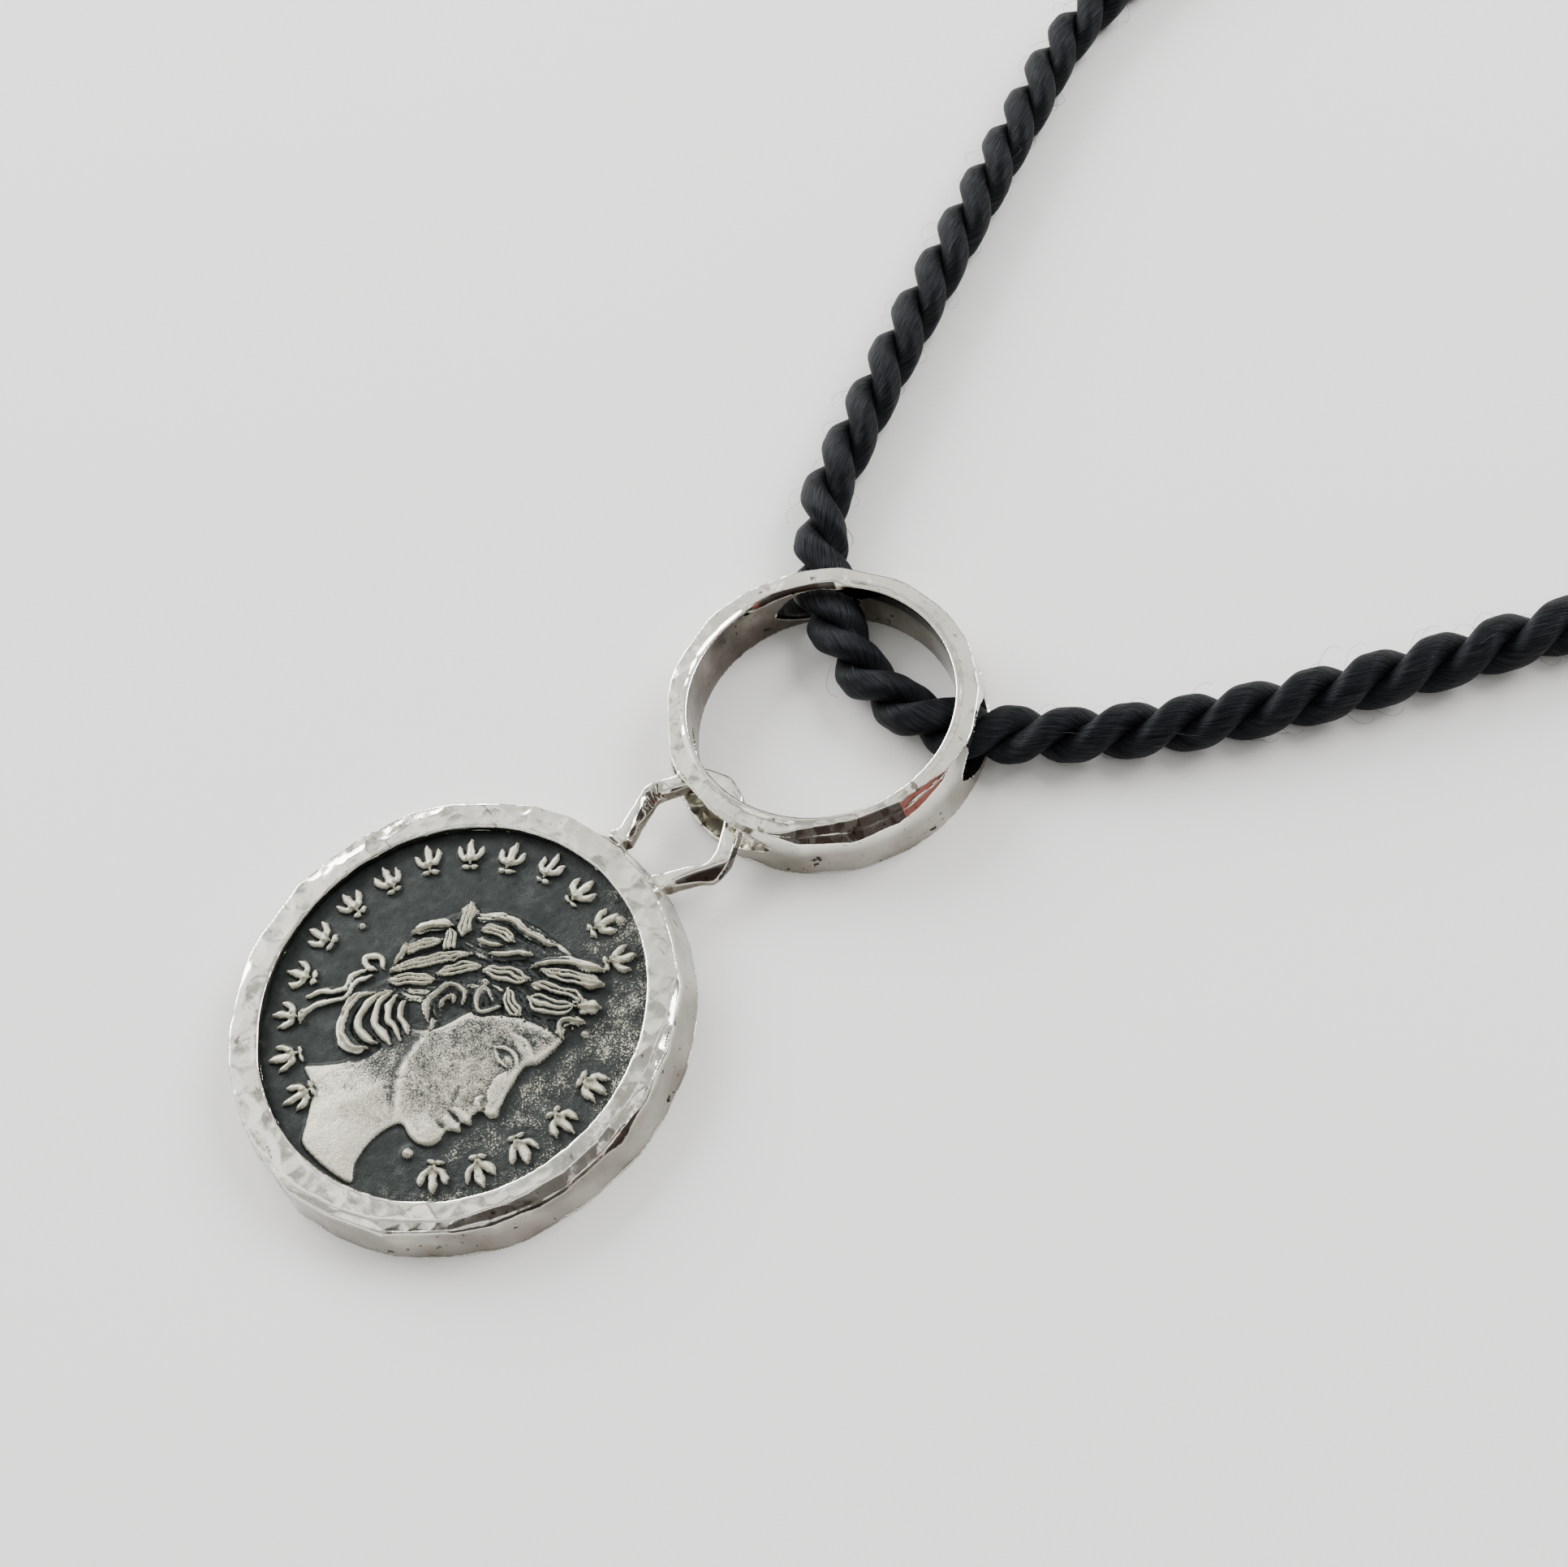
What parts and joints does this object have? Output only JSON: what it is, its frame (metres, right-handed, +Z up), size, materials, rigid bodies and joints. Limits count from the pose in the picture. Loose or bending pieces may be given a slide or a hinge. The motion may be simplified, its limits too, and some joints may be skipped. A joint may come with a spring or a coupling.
{
  "type": "coin pendant",
  "caption": "Struck coin with a raised laureate head in a hammered round silver setting, hung by a link from a slotted bail ring on a twisted silk cord with a barrel clasp.",
  "frame": {"origin": "on the surface it lies on, under the middle of the outline of the setting and the bail ring together", "axes": "+Y from the coin towards the bail ring and the cord, +Z up out of the coin's face, the head looks along +X"},
  "size_m": [0.0867, 0.234, 0.005],
  "materials": {
    "patinated_coin": "dark grey-green patina in the field, relief worn to bare light silver, fine grainy transitions",
    "hammered_silver": "polished silver with shallow hammered facets and soft scratches",
    "plain_silver": "satin silver",
    "black_silk": "satin black silk, two strands twisted to a rope"
  },
  "bodies": {
    "root": {"coin": "patinated_coin", "setting": "hammered_silver", "bail_ring": "hammered_silver", "cord": "black_silk", "clasp": "plain_silver"}
  },
  "joints": []
}
